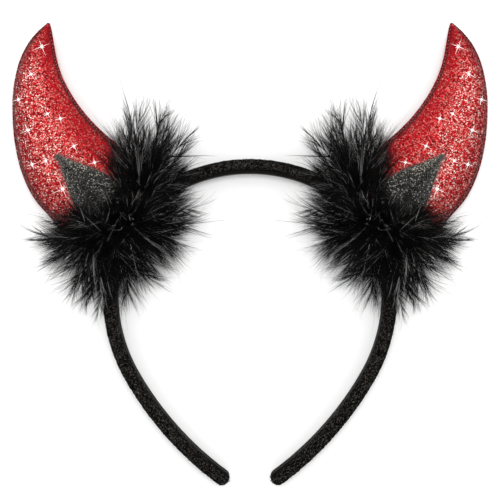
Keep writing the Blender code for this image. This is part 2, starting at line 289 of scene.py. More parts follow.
def pointedShape(ring, top, bottom):
    # Joined double pyramids: ring is (n, 4, 3), and runs anticlockwise seen from the top point
    points = np.concatenate([ring, top[:, None], bottom[:, None]], axis=1)
    upper = np.array([[0, 1, 4], [1, 2, 4], [2, 3, 4], [3, 0, 4]])
    lower = np.array([[1, 0, 5], [2, 1, 5], [3, 2, 5], [0, 3, 5]])
    faces = np.concatenate([upper, lower]) + np.arange(len(ring))[:, None, None] * 6
    return points.reshape(-1, 3), [faces.reshape(-1, 3)]


def chipShape(centres, normals, sizes, rng):
    # Flat flakes: squares turned at random across their normals, with points 0.12 of their size high
    first = across(normals, rng)
    second = np.cross(normals, first)
    ring = centres[:, None] + np.stack([first, second, -first, -second], axis=1) * sizes[:, None, None]
    peak = normals * sizes[:, None] * 0.12
    return pointedShape(ring, centres + peak, centres - peak)


def settle(piece, node=None):
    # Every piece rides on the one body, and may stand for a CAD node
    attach(piece, "root")
    if node:
        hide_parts(node)
    return piece


def settlePair(name, shape, material, slot, node="", fill=None, **look):
    # The left piece and its mirror image on the right; {} in a name stands for the side
    points, faces = shape
    pair = {}
    for side, place, turned in (("left", points, faces), ("right", mirrored(points), flipped(faces))):
        piece = meshObject(name.format(side), place, turned, material, **look)
        pair[side] = settle(piece, node.format(side))
    return pair


# Camera: straight above, as the photo was taken

photo = {
    "width": 220.0 * mm,  # what the frame takes in at the middle of the object
    "distance": 500.0 * mm,
    "aim": (0.0, 1.7 * mm, 5.5 * mm),
    "sensor": 36.0,  # width in mm
    "clip": (0.01, 10.0),  # metres
}


def makeCamera():
    # Focal length = sensor x distance / width
    data = bpy.data.cameras.new("photo_camera")
    data.sensor_width = photo["sensor"]
    data.lens = photo["sensor"] * photo["distance"] / photo["width"]
    data.clip_start, data.clip_end = photo["clip"]
    camera = bpy.data.objects.new("photo_camera", data)
    x, y, z = photo["aim"]
    camera.location = (x, y, z + photo["distance"])
    bpy.context.scene.collection.objects.link(camera)
    bpy.context.scene.camera = camera


# Studio: a pale table and soft light from all round, a broad lamp over the camera and one from each side

studio = {
    "world": 0.88,
    "lamps": (
        # name, place and size in metres, watts
        ("top_lamp", (0.0, 0.12, 0.80), 0.25, 3.0),
        ("left_lamp", (-0.75, 0.35, 0.55), 0.25, 0.8),
        ("right_lamp", (0.75, 0.35, 0.55), 0.25, 0.8),
    ),
    "tableHalf": 3.0,  # metres
    "tableDim": (0.925, 0.925, 0.92),
    "tableBright": (0.94, 0.94, 0.94),
}


def makeLight():
    # A white world, and area lamps that each aim at the origin
    scene = bpy.context.scene
    scene.view_settings.view_transform = "Standard"
    world = bpy.data.worlds.new("soft_room")
    world.use_nodes = True
    backdrop = world.node_tree.nodes["Background"]
    backdrop.inputs["Color"].default_value = (1.0, 1.0, 1.0, 1.0)
    backdrop.inputs["Strength"].default_value = studio["world"]
    scene.world = world
    for name, (x, y, z), size, watts in studio["lamps"]:
        data = bpy.data.lights.new(name, "AREA")
        data.size = size
        data.energy = watts
        lamp = bpy.data.objects.new(name, data)
        lamp.location = (x, y, z)
        lamp.rotation_euler = (math.atan2(math.hypot(x, y), z), 0.0, math.atan2(x, -y))
        scene.collection.objects.link(lamp)


def makeTable():
    # One square at height 0 with a faint grain
    material, tree, shader = newMaterial("table_top", {"Roughness": 0.9, "Specular IOR Level": 0.1})
    grain = noise(tree, objectPlace(tree), 60.0)
    feed(tree, shader, {"Base Color": mixColour(tree, grain, studio["tableDim"], studio["tableBright"])})
    corners = np.array([(-1, -1, 0), (1, -1, 0), (1, 1, 0), (-1, 1, 0)]) * studio["tableHalf"]
    meshObject("table_top", corners, [np.array([[0, 1, 2, 3]])], material, smooth=False)


# Band line: four arcs that run on from each other, from the crown down one side

bandLine = {
    "crown": 39.2 * mm,  # y of the line where it starts
    "arcs": ((71.9, 22.3), (56.0, 66.3), (71.6, 31.1), (145.1, 25.2)),  # radius mm, sweep degrees
    "depth": 11.0 * mm,
    "thickness": 4.5 * mm,
    "endRounding": 4.5 * mm,  # how far the upper and lower edges curl in at the ends
    "endStations": 9,
    "lastStation": 0.004,  # share of the rounding left between the last station and the end
    "tipRadius": 3.05 * mm,  # round end shared by the cloth and the ribbon, seen from above
    "tipMiddle": -0.8 * mm,
    "inset": 0.85 * mm,  # how far the padding bulges inward away from the crown
    "insetRun": (10.0 * mm, 28.0 * mm),
}


def bandPoints(runs):
    # Left half of the centre line at distances from the crown: its points and outward directions.
    # On an arc the heading turns by run / radius, and the point lies one radius beside the arc's middle
    runs = np.asarray(runs, dtype=float)
    points = np.zeros((len(runs), 3))
    points[:, 1] = bandLine["crown"]
    heading = np.full(len(runs), math.pi)
    x, y, turned = 0.0, bandLine["crown"], math.pi
    left = runs.copy()
    for radius, degrees in bandLine["arcs"]:
        reach, sweep = radius * mm, math.radians(degrees)
        here = left > 0
        centreX = x - math.sin(turned) * reach
        centreY = y + math.cos(turned) * reach
        heading = np.where(here, turned + np.clip(left / reach, 0.0, sweep), heading)
        points[here, 0] = (centreX + np.sin(heading) * reach)[here]
        points[here, 1] = (centreY - np.cos(heading) * reach)[here]
        turned += sweep
        x = centreX + math.sin(turned) * reach
        y = centreY - math.cos(turned) * reach
        left = left - sweep * reach
    return points, np.stack([np.sin(heading), -np.cos(heading), np.zeros(len(runs))], axis=-1)


def bandHalfRun():
    # Length of the half line: the sum of radius x sweep
    return sum(radius * mm * math.radians(degrees) for radius, degrees in bandLine["arcs"])


def wholeBand(runs):
    # Both halves as one line, from the right end (runs below 0) over the crown to the left end
    points, outward = bandPoints(np.abs(runs))
    side = np.ones((len(runs), 3))
    side[:, 0] = np.where(runs > 0, 1.0, -1.0)
    return points * side, outward * side


def stripRings(runs, outwardShift, halfThickness, halfDepth, corner, columns):
    # Rings across the band line: even rays meet a rectangle, whose corners are then rounded.
    # outwardShift moves the rectangle off the line, with one value for each station
    points, outward = wholeBand(runs)
    angle = (np.arange(columns) + 0.5) * 2 * math.pi / columns
    ray = np.stack([np.cos(angle), np.sin(angle)], axis=-1)
    half = np.stack([halfThickness, halfDepth], axis=-1)[:, None]
    radius = corner[:, None, None]
    flat = ray / np.abs(ray).max(axis=-1, keepdims=True) * half
    limit = np.maximum(half - radius, 0)
    core = np.clip(flat, -limit, limit)
    away = flat - core
    atCorner = (np.abs(away) > tiny).all(axis=-1, keepdims=True)
    section = np.where(atCorner, core + unit(away) * radius, flat)
    rings = points[:, None] + outward[:, None] * (section[..., :1] + outwardShift[:, None, None])
    rings[..., 2] += section[..., 1] + bandLine["depth"] / 2
    return rings


def stripTube(rings):
    # Along the line the rings run clockwise, so the tube's faces are turned to point outward
    points, faces = ringTube(rings)
    return points, flipped(faces)


def endDepth(runs, endRun, depth, rounding):
    # Half the strip's depth, which falls along a quarter round over its last stretch
    left = np.clip((endRun - np.abs(runs)) / rounding, 0.0, 1.0)
    return depth / 2 - rounding * (1 - np.sqrt(np.maximum(1 - (1 - left) ** 2, 0.0)))


def tipHalf(runs):
    # Half width of a round end at each station: the half chord of a circle, full width before it
    radius = bandLine["tipRadius"]
    left = np.clip(bandHalfRun() - np.abs(runs), 0.0, radius)
    return np.sqrt(radius**2 - (radius - left) ** 2)


def stripRuns(endRun, rounding, step):
    # Even stations from end to end, closer together where the ends are rounded
    plain = np.arange(0, endRun - rounding, step)
    share = 1 - np.sin(np.linspace(0, math.pi / 2, bandLine["endStations"]))
    half = np.concatenate([plain, endRun - rounding * np.maximum(share, bandLine["lastStation"])])
    return np.concatenate([-half[:0:-1], half])


# Band: black sandy cloth over a spring strip

bandLook = {
    "cloth": (0.0012, 0.0011, 0.001),
    "dust": (0.072, 0.066, 0.060),
    "cellScale": 3100.0,
    "dustShare": 0.72,
    "roughness": 0.8,
    "step": 0.7 * mm,
    "columns": 32,
    "corner": 1.6 * mm,
    "least": 0.05 * mm,  # half thickness where the ends come to a point
    "nap": 0.12 * mm,
    "grit": 5600,
    "gritSize": (0.10 * mm, 0.20 * mm),
    "gritLean": 0.6 * mm,
    "gritJitter": 0.25 * mm,
}


def sandColour(tree, place):
    # Near-black cloth where scattered cells are pale dust
    flake = cells(tree, place, bandLook["cellScale"])
    pick = channel(tree, flake, 0) > bandLook["dustShare"]
    dim = mixColour(tree, channel(tree, flake, 1), bandLook["cloth"], bandLook["dust"])
    return mixColour(tree, pick, bandLook["cloth"], dim)


def sandMaterial():
    # The sand's colour, with a fine noise that roughens the surface
    constants = {"Roughness": bandLook["roughness"], "Specular IOR Level": 0.02}
    material, tree, shader = newMaterial("band_fabric", constants)
    place = objectPlace(tree)
    rough = bumped(tree, noise(tree, place, 1500.0), 0.7, 0.4 * mm)
    feed(tree, shader, {"Base Color": sandColour(tree, place), "Normal": rough})
    return material


def gritMaterial():
    # Loose grains: each takes its colour from its tint
    material, tree, shader = newMaterial("band_grit", {"Roughness": 0.6, "Specular IOR Level": 0.15})
    grain = noise(tree, objectPlace(tree), 3000.0)
    feed(tree, shader, {"Base Color": mixColour(tree, grain * 0.4, tintOf(tree), (0.01, 0.01, 0.01))})
    return material


def bandRings():
    # A strip between two offsets from the line: the inner one bulges, and both close in on the round ends
    endRun, rounding = bandHalfRun(), bandLine["endRounding"]
    runs = stripRuns(endRun, rounding, bandLook["step"])
    halfDepth = endDepth(runs, endRun, bandLine["depth"], rounding)
    bulge = bandLine["inset"] * ease(np.abs(runs), *bandLine["insetRun"])
    chord = tipHalf(runs)
    outer = np.minimum(bandLine["thickness"] / 2, bandLine["tipMiddle"] + chord)
    inner = np.maximum(-bandLine["thickness"] / 2 - bulge, bandLine["tipMiddle"] - chord)
    halfThickness = np.maximum((outer - inner) / 2, bandLook["least"])
    corner = np.minimum(np.minimum(halfDepth, halfThickness) * 0.9, bandLook["corner"])
    return stripRings(runs, (outer + inner) / 2, halfThickness, halfDepth, corner, bandLook["columns"])


def buildBand():
    # The cover's rings move in and out by the nap, and the grit lies on them
    rng = np.random.default_rng(11)
    rings = bandRings()
    middle = rings.mean(1, keepdims=True)
    rings = rings + unit(rings - middle) * rng.normal(size=rings.shape[:2])[..., None] * bandLook["nap"]
    rings[..., 2] = np.maximum(rings[..., 2], 0.02 * mm)
    points, faces = stripTube(rings)
    settle(meshObject("bandCover", points, faces, sandMaterial()), "band")
    count = bandLook["grit"]
    row = rng.integers(0, len(rings), count)
    column = rng.integers(0, rings.shape[1], count)
    lean = rng.normal(size=(count, 3)) * bandLook["gritLean"]
    normals = unit(rings[row, column] - middle[row, 0] + lean)
    jitter = rng.normal(size=(count, 3)) * bandLook["gritJitter"]
    centres = rings[row, column] + jitter + normals * 0.05 * mm
    centres[:, 2] = np.maximum(centres[:, 2], 0.25 * mm)
    shade = rng.random((count, 1)) ** 3
    tint = np.array(bandLook["cloth"]) * (1 - shade) + np.array(bandLook["dust"]) * shade * 1.4
    points, faces = chipShape(centres, normals, rng.uniform(*bandLook["gritSize"], count), rng)
    settle(meshObject("bandGrit", points, faces, gritMaterial(), smooth=False, tint=tint))


# Lining: a smooth black ribbon glued inside the band

liningLook = {
    "ribbon": (0.0012, 0.0011, 0.001),
    "lint": (0.007, 0.0062, 0.0056),
    "sandFrom": (62.0 * mm, 80.0 * mm),  # run from the crown where the ribbon picks up the band's sand
    "sandShortOfEnd": (18.0 * mm, 9.0 * mm),
    "roughness": 0.6,
    "step": 1.2 * mm,
    "columns": 24,
    "depth": 8.4 * mm,
    "face": 3.85 * mm,  # from the band's centre line to the face against the head
    "back": 2.05 * mm,
    "least": 0.1 * mm,  # thickness that is left at the ends
    "corner": 0.6 * mm,
    "wave": 0.03 * mm,
    "wavePitch": 0.9,  # radians a mm
    "shortOfEnd": 0.45 * mm,
    "endRounding": 3.5 * mm,
}


def ribbonMaterial():
    # Fine ribs across the ribbon's width, and the band's sand where the tint's red is 1
    constants = {"Roughness": liningLook["roughness"], "Specular IOR Level": 0.03}
    material, tree, shader = newMaterial("lining_ribbon", constants)
    place = objectPlace(tree)
    ribs = {"Vector": place, "Scale": 420.0, "Distortion": 1.5, "Detail": 1.0}
    weave = addNode(tree, "ShaderNodeTexWave", {"bands_direction": "Z"}, ribs, 1)
    ribbed = mixColour(tree, noise(tree, place, 700.0), liningLook["ribbon"], liningLook["lint"])
    colour = mixColour(tree, channel(tree, tintOf(tree), 0), ribbed, sandColour(tree, place))
    feed(tree, shader, {"Base Color": colour, "Normal": bumped(tree, weave, 0.35, 0.2 * mm)})
    return material


def buildLining():
    # A thin strip between two offsets inside the line, with edges that waver by a sine of the run
    endRun, rounding = bandHalfRun() - liningLook["shortOfEnd"], liningLook["endRounding"]
    runs = stripRuns(endRun, rounding, liningLook["step"])
    halfDepth = endDepth(runs, endRun, liningLook["depth"], rounding)
    inner = np.maximum(-liningLook["face"], bandLine["tipMiddle"] - tipHalf(runs))
    outer = np.maximum(inner + liningLook["least"], -liningLook["back"])
    halfThickness = (outer - inner) / 2
    corner = np.minimum(liningLook["corner"], halfThickness * 0.8)
    rings = stripRings(runs, (outer + inner) / 2, halfThickness, halfDepth, corner, liningLook["columns"])
    rings[..., 2] += (np.sin(runs / mm * liningLook["wavePitch"]) * liningLook["wave"])[:, None]
    points, faces = stripTube(rings)
    far, near = liningLook["sandShortOfEnd"]
    run = np.abs(runs)
    sand = ease(run, *liningLook["sandFrom"]) * (1 - ease(run, endRun - far, endRun - near))
    tint = np.zeros((len(points), 3))
    tint[: rings.shape[0] * rings.shape[1]] = np.repeat(sand, rings.shape[1])[:, None]
    ribbon = meshObject("liningRibbon", points, faces, ribbonMaterial(), tint=tint)
    settle(ribbon, "band_lining")


# Horns: two glitter cloths sewn along their edges and stuffed

hornLook = {
    "rootRuns": (75.0 * mm, 44.0 * mm),  # where the root's two sides meet the band line
    "rootHalf": 4.6,  # mm, half thickness there
    "sections": (
        # convex x, y, concave x, y, half thickness in mm, for the left horn from its root to its tip
        (-77.8, 5.0, -48.4, 38.4, 5.4), (-86.2, 14.4, -55.0, 45.5, 5.6), (-95.0, 24.6, -62.5, 51.6, 5.7),
        (-100.4, 36.2, -69.5, 58.4, 5.7), (-103.2, 48.3, -75.2, 65.3, 5.5),
        (-104.3, 60.9, -79.4, 71.9, 5.1), (-103.9, 72.6, -82.5, 78.2, 4.5),
        (-101.7, 83.2, -84.6, 84.6, 3.8), (-98.1, 91.3, -85.9, 91.2, 3.1), (-93.7, 97.1, -86.8, 96.7, 2.2),
        (-90.7, 99.8, -87.4, 99.6, 1.4),
    ),
    "tipSection": (-89.0, 101.4, -87.9, 101.3, 0.7),
    "middle": 6.5 * mm,  # height of the seam
    "rows": 170,
    "seam": 0.85,  # mm, width of the sewn rim outside the stuffed part
    "seamHalf": 0.28,  # mm
    "pucker": 0.22,  # mm
    "puckerPitch": (2.6, 1.53),  # radians a mm: the folds of both edges alike, and of each edge its own
    "puckerFade": 2.2,  # mm
    "slack": 0.25,  # mm
    "slackPitch": (0.23, 0.25),  # radians a mm, along and across the horn
    "fill": 0.8,
    "cellScale": 2150.0,
    "flakeCellScale": 2500.0,
    "flakes": 9600,
    "flakeSize": (0.11 * mm, 0.24 * mm),
    "flakeLean": 0.33,
    "flakeAbove": 0.06 * mm,
    "shades": (
        # share of the flakes, colour; the last two, pale shades stand in for flakes catching the light:
        # painted glints
        (0.22, (0.11, 0.0015, 0.004)), (0.25, (0.38, 0.005, 0.010)), (0.19, (0.55, 0.014, 0.018)),
        (0.24, (0.72, 0.18, 0.155)), (0.10, (0.97, 0.70, 0.64)),
    ),
    # Colour that the painted shade darkens the flakes towards
    "paintedShade": (0.05, 0.0, 0.003),
    "outerFrom": (0.25, 0.9),  # places across the horn at which a mask begins and is full, 1 at the edge
    "innerFrom": (0.2, 0.9),
    "plainFrom": (0.05, 0.75),
    "creaseFrom": (0.90, 0.96),
    "creaseTo": (1.02, 1.05),  # where the crease's painted shade ends again, on the rim
    # Strengths of the painted shade at the convex edge, the concave edge, the seam's crease and the tip,
    # and its most
    "outerPaintedShade": 0.48,
    "innerPaintedShade": 0.25,
    "creasePaintedShade": 0.6,
    "tipPaintedShade": 0.3,
    "deepestPaintedShade": 0.85,
    # Plain places draw fewer of the pale shades, the painted glints: on the concave side and at the tip;
    # the crease less so
    "innerPlain": 0.75,
    "tipPlain": 0.6,
    "creasePlain": 0.3,
    "plainSqueeze": 0.55,  # a plain place draws from this much less of the scale of shades
    "plainShift": 0.22,  # and from this far up it
    "tipFrom": (75.0 * mm, 98.0 * mm),  # y at which the tip's painted shade and plainness begin and are full
    "stitchStep": 1.7,  # mm
    "stitchLength": 0.75,  # mm
    "stitchRise": 0.16 * mm,
    "threadRadius": 0.13 * mm,
}


def hornTable():
    # Root section on the band line, the listed sections, and a small one at the tip, smoothed to many rows
    (outer, inner), _ = bandPoints(hornLook["rootRuns"])
    root = (outer[0] / mm, outer[1] / mm, inner[0] / mm, inner[1] / mm, hornLook["rootHalf"])
    return smoothRows([root, *hornLook["sections"], hornLook["tipSection"]], hornLook["rows"])


def hornRings():
    # Each ring runs over the top from the convex edge to the concave one and back below, with a flat rim.
    # The stuffed part's height is half x sin(angle)^0.8, with puckers that fade from the seam, and slack
    table = hornTable()
    convex, concave, half = table[:, 0:2], table[:, 2:4], table[:, 4:5]
    centre = (convex + concave) / 2
    reach = (convex - concave) / 2
    width = np.linalg.norm(reach, axis=1, keepdims=True)
    rim = np.minimum(hornLook["seam"], width * 0.3)
    body = width - rim
    rimHalf = np.minimum(hornLook["seamHalf"], half * 0.5)
    angle = np.radians(np.concatenate([[2.0, 5.0], np.linspace(10, 170, 44), [175.0, 178.0]]))
    rimPlaces = np.array([1.0, 0.9, 0.12])  # shares of the rim's width
    rimHeights = np.array([0.35, 1.0, 0.8])  # shares of its half thickness
    edge = body + rim * rimPlaces
    offset = np.concatenate([edge, body * np.cos(angle), -edge[:, ::-1]], axis=1)
    rimLift = rimHalf * rimHeights
    lift = np.concatenate([rimLift, half * np.sin(angle) ** 0.8, rimLift[:, ::-1]], axis=1)
    along = np.cumsum(np.concatenate([[0], np.linalg.norm(np.diff(centre, axis=0), axis=1)]))
    place = along[:, None]
    fromEdge = np.maximum(body - np.abs(offset), 0.0)
    both, own = hornLook["puckerPitch"]
    fold = np.sin(place * both) + 0.8 * np.sin(place * own + 1.0) * np.sign(offset)
    fade = np.exp(-fromEdge / hornLook["puckerFade"]) * np.minimum(fromEdge / 0.6, 1.0)
    lift = lift + hornLook["pucker"] * fold * fade
    lengthwise, crosswise = hornLook["slackPitch"]
    slack = np.sin(place * lengthwise + 0.6) * np.cos(offset * crosswise) * hornLook["slack"]
    lift = np.maximum(lift + slack * (lift > 1.5), rimHalf * 0.3)
    flat = centre[:, None] + (reach / width)[:, None] * offset[..., None]
    top = np.concatenate([flat, lift[..., None]], axis=-1)
    under = np.concatenate([flat, -lift[..., None]], axis=-1)[:, ::-1]
    rings = np.concatenate([top, under], axis=1) * mm
    rings[..., 2] += hornLook["middle"]
    zone = offset / body
    return rings, np.concatenate([zone, zone[:, ::-1]], axis=1), along


def hornShade(zone, height):
    # Two masks from the place across the horn (1 convex edge, -1 concave edge) and its y: painted shade,
    # and plain
    # Painted shade: darker where the stuffed horn curves away at both edges, in the seam's crease and at
    # the tip
    crease = ease(np.abs(zone), *hornLook["creaseFrom"]) * (1 - ease(np.abs(zone), *hornLook["creaseTo"]))
    tipward = ease(height, *hornLook["tipFrom"])
    paintedShade = hornLook["outerPaintedShade"] * ease(zone, *hornLook["outerFrom"])
    paintedShade = paintedShade + hornLook["innerPaintedShade"] * ease(-zone, *hornLook["innerFrom"])
    paintedShade = paintedShade + hornLook["creasePaintedShade"] * crease + hornLook["tipPaintedShade"] * tipward
    # Plain: fewer of the pale flakes that are painted glints, on the concave side and at the tip, and more
    # in the crease
    plain = hornLook["innerPlain"] * ease(-zone, *hornLook["plainFrom"]) + hornLook["tipPlain"] * tipward
    plain = plain - hornLook["creasePlain"] * crease
    return np.clip(paintedShade, 0, hornLook["deepestPaintedShade"]), np.clip(plain, 0, 1)


def shadeStarts():
    # Where each shade begins on the scale from 0 to 1: the sum of the shares before it
    return np.cumsum([0.0, *(share for share, _ in hornLook["shades"][:-1])])


def shadeDraw(value, plain):
    # A value from 0 to 1, squeezed towards the middle shades in plain places; numbers or wires
    return value * (1.0 - plain * hornLook["plainSqueeze"]) + plain * hornLook["plainShift"]


def glitterTint(rng, zone, height):
    # Flake colours drawn from the glitter's shades, the pale ones painted glints; darker where shade is
    # painted, plainer where the masks say
    paintedShade, plain = hornShade(zone, height)
    pick = np.searchsorted(shadeStarts()[1:], shadeDraw(rng.random(len(zone)), plain))
    shades = np.array([shade for _, shade in hornLook["shades"]])
    # Random brightness, lowered where shade is painted
    bright = (rng.uniform(0.8, 1.2, len(zone)) * (1 - paintedShade)).clip(0, 1)
    return shades[pick] * bright[:, None]


def glitterMaterial():
    # Cells under 0.6 mm, each with a shade and a lean of its own, like flakes glued to cloth; pale ones are
    # painted glints
    constants = {"Metallic": 0.3, "Roughness": 0.4, "Specular IOR Level": 0.1}
    material, tree, shader = newMaterial("horn_fabric", constants)
    colour = cells(tree, objectPlace(tree), hornLook["cellScale"])
    mask = tintOf(tree)
    paintedShade, plain = channel(tree, mask, 0), channel(tree, mask, 1)
    stops = [(start, shade) for start, (_, shade) in zip(shadeStarts(), hornLook["shades"])]
    value = shadeDraw(channel(tree, colour, 0), plain)
    flake = addNode(tree, "ShaderNodeValToRGB", {"ramp": stops}, {0: value})
    # Painted shade: the tint's red mixes the flakes towards the dark colour
    base = mixColour(tree, paintedShade, flake, hornLook["paintedShade"])
    feed(tree, shader, {"Base Color": base, "Normal": tiltedNormal(tree, colour, 1.0)})
    return material


def flakeMaterial():
    # Loose glitter: bright faces in the tint's colour, which holds painted shade and pale painted glints
    constants = {"Metallic": 0.4, "Roughness": 0.3, "Specular IOR Level": 0.15}
    material, tree, shader = newMaterial("horn_glitter", constants)
    flake = cells(tree, objectPlace(tree), hornLook["flakeCellScale"])
    feed(tree, shader, {"Base Color": tintOf(tree), "Normal": tiltedNormal(tree, flake, 0.5)})
    return material


def threadMaterial():
    # Pink thread, mottled along its length
    material, tree, shader = newMaterial("horn_thread", {"Roughness": 0.7, "Specular IOR Level": 0.2})
    fibre = noise(tree, objectPlace(tree), 2500.0)
    feed(tree, shader, {"Base Color": mixColour(tree, fibre, (0.50, 0.16, 0.15), (0.80, 0.50, 0.48))})
    return material


def scattered(rng, points, quads, count):
    # Even spread over a surface: quads are drawn in proportion to their area, then a place in each.
    # Gives the places, the quads' normals, and the index of each quad's first point
    a, b, c, d = (points[quads[:, k]] for k in range(4))
    cross = np.cross(c - a, d - b)
    area = np.linalg.norm(cross, axis=1) / 2
    pick = rng.choice(len(quads), count, p=area / area.sum())
    s, t = rng.random((2, count, 1))
    places = (a[pick] * (1 - s) + b[pick] * s) * (1 - t) + (d[pick] * (1 - s) + c[pick] * s) * t
    return places, unit(cross[pick]), quads[pick, 0]


def buildHorns():
    # Cloth shells from the rings, with their masks of painted shade and plainness as tint
    rings, zone, along = hornRings()
    points, faces = ringTube(rings)
    paintedShade, plain = hornShade(zone, rings[..., 1])
    tint = np.full((len(points), 3), 0.5)
    tint[: zone.size] = np.stack([paintedShade.ravel(), plain.ravel(), plain.ravel()], axis=-1)
    settlePair(
        "hornShell_{}", (points, faces), glitterMaterial(), "horn_fabric",
        node="horn_{}", fill=hornLook["fill"], tint=tint,
    )
    buildGlitter(points, faces[0], zone.ravel())
    buildStitches(rings, along)


def buildGlitter(points, quads, zone):
    # Loose flakes just above the cloth, each leaning off its normal
    rng = np.random.default_rng(23)
    places, facing, nearest = scattered(rng, points, quads, hornLook["flakes"])
    normals = unit(facing + rng.normal(size=places.shape) * hornLook["flakeLean"])
    sizes = rng.uniform(*hornLook["flakeSize"], len(places))
    # Their colours carry the painted shade and the pale painted glints
    tint = glitterTint(rng, zone[nearest], places[:, 1])
    shape = chipShape(places + normals * hornLook["flakeAbove"], normals, sizes, rng)
    settlePair("hornGlitter_{}", shape, flakeMaterial(), "horn_fabric", smooth=False, tint=tint)


def buildStitches(rings, along):
    # Short threads pressed into the seam between the stuffed part and the rim, top and bottom
    columns = rings.shape[1]
    half = columns // 2
    ticks = np.arange(2.0, along[-1] - 1.0, hornLook["stitchStep"])
    reach = ticks[:, None] + np.linspace(0, hornLook["stitchLength"], 4)[None]
    rise = hornLook["stitchRise"] * np.array([0.4, 1.0, 1.0, 0.2])
    paths = []
    for column, facing in ((3, 1), (half - 4, 1), (half + 3, -1), (columns - 4, -1)):
        line = rings[:, column]
        stitch = np.stack([np.interp(reach, along, line[:, axis]) for axis in range(3)], axis=-1)
        stitch[..., 2] += rise * facing
        paths.append(stitch)
    paths = np.concatenate(paths)
    shape = strandShape(paths, np.full(paths.shape[:2], hornLook["threadRadius"]))
    settlePair("hornStitches_{}", shape, threadMaterial(), "horn_fabric")


# Glints: painted glints, small glowing stars made of long pale pieces that lie crosswise

glintLook = {
    "places": (
        # x, y in mm on the left horn, and the length of the longest ray
        (-90.8, 90.4, 5.0), (-95.2, 78.2, 3.6), (-100.8, 67.2, 3.4), (-87.9, 60.8, 2.6),
        (-82.4, 58.8, 3.2), (-96.6, 53.8, 4.2), (-76.4, 46.8, 3.2), (-67.5, 39.7, 3.0),
        (-88.6, 40.4, 2.6), (-94.7, 38.9, 3.2), (-81.3, 28.2, 6.0),
    ),
    "turns": (0, 8, -6, 12, -10, 4, 6, -8, 10, -4, 2),  # degrees, for each place
    # heading in degrees and share of the longest ray, for each ray of a star
    "rays": ((22, 0.8), (202, 1.0), (112, 0.75), (292, 0.9), (67, 0.3), (157, 0.3), (247, 0.3), (337, 0.3)),
    "above": 0.45,  # mm over the cloth
    "halfWidth": 0.10,  # mm
    "halfHeight": 0.07,  # mm
    "core": (0.25, 0.065),  # radius of the round middle: mm, and share of the longest ray
    "coreWide": 2.6,  # its rays are this much wider
}


def glintMaterial():
    # Painted glint: white to pale pink, and glowing so that it reads as a sparkle
    constants = {"Roughness": 0.25, "Specular IOR Level": 0.5, "Emission Strength": 0.6}
    material, tree, shader = newMaterial("horn_stars", constants)
    shine = noise(tree, objectPlace(tree), 400.0)
    glow = mixColour(tree, shine, (1.0, 0.90, 0.88), (1.0, 1.0, 1.0))
    feed(tree, shader, {"Base Color": glow, "Emission Color": glow})
    return material


def buildGlints():
    # Arrays are (stars, rays, 3) in mm; a painted glint's ray is a short wide piece and a long thin one,
    # point to point
    stars = np.array(glintLook["places"])[:, None]
    heading, share = np.array(glintLook["rays"], dtype=float).T
    angle = np.radians(heading + np.array(glintLook["turns"])[:, None])
    forward = np.stack([np.cos(angle), np.sin(angle), 0 * angle], axis=-1)
    aside = np.stack([-np.sin(angle), np.cos(angle), 0 * angle], axis=-1) * glintLook["halfWidth"]
    rise = np.array([0.0, 0.0, glintLook["halfHeight"]])
    rings, _, _ = hornRings()
    top = rings[:, : rings.shape[1] // 2].reshape(-1, 3) / mm
    nearest = ((top[:, :2] - stars[..., :2]) ** 2).sum(-1).argmin(1)
    middle = np.concatenate([stars[..., :2], (top[nearest, 2:] + glintLook["above"])[:, None]], axis=-1)
    least, grows = glintLook["core"]
    core = least + grows * stars[..., 2:]
    length = np.maximum(stars[..., 2:] * share[None, :, None], core)
    flakes = (
        # near end, waist and far end along the ray, and width at the waist
        (-0.3 * core, 0.5 * core, core, glintLook["coreWide"]),
        (0 * core, 0.7 * core, length, 1.0),
    )
    ring, far, near = [], [], []
    for start, waist, end, wide in flakes:
        here = middle + forward * waist
        corners = (here + aside * wide, here + rise, here - aside * wide, here - rise)
        ring.append(np.stack(corners, axis=2).reshape(-1, 4, 3))
        far.append((middle + forward * end).reshape(-1, 3))
        near.append((middle + forward * start).reshape(-1, 3))
    shape = pointedShape(*(np.concatenate(block) * mm for block in (ring, far, near)))
    settlePair("hornPaintedGlints_{}", shape, glintMaterial(), "horn_fabric", smooth=False)


# Leaves: black felt, folded a little along the middle

leafLook = {
    "root": (-59.0, 14.0),  # mm
    "heading": 130.8,  # degrees
    "under": 12.6,  # mm, height of the underside at the edges
    "thickness": 1.0,  # mm
    "fold": 0.6,  # mm, how far the middle stands over the edges
    "crease": (0.35, 0.5),  # mm, depth and width of the groove along the fold
    "wave": 0.18,  # mm, at the edges
    "wavePitch": (0.55, 1.7),  # radians a mm along the leaf, and radians from the fold to an edge
    "rows": (
        # along, left and right of the fold, in mm
        (0, 3, 4), (4, 6.4, 8.6), (11, 8.8, 12), (16, 8.3, 11.3), (20.5, 7, 9.7), (25, 5.2, 7.4),
        (30, 3, 4.5), (34.5, 1.2, 2.2), (37.6, 0.15, 0.3),
    ),
    "grid": (64, 33),
    "felt": (0.004, 0.004, 0.004),
    "wool": (0.085, 0.082, 0.079),
    "woolScale": 1400.0,
    "fleck": (0.42, 0.41, 0.39),
    "fleckScale": 2700.0,
    "gold": (0.46, 0.42, 0.35),
    "cut": (0.0208, 0.0376),  # metres, flat size of the felt piece
    "cutArea": 0.0005,  # square metres
    "creaseWidth": 1.1,  # mm, of the painted shade along the fold's crease
    # How much painted shade darkens the leaf towards its root
    "rootShade": 0.55,
    "edgeDust": 0.45,
    "fuzz": 1100,
    "fuzzLength": (0.6 * mm, 3.0 * mm),
    "fuzzRadius": 0.055 * mm,
}


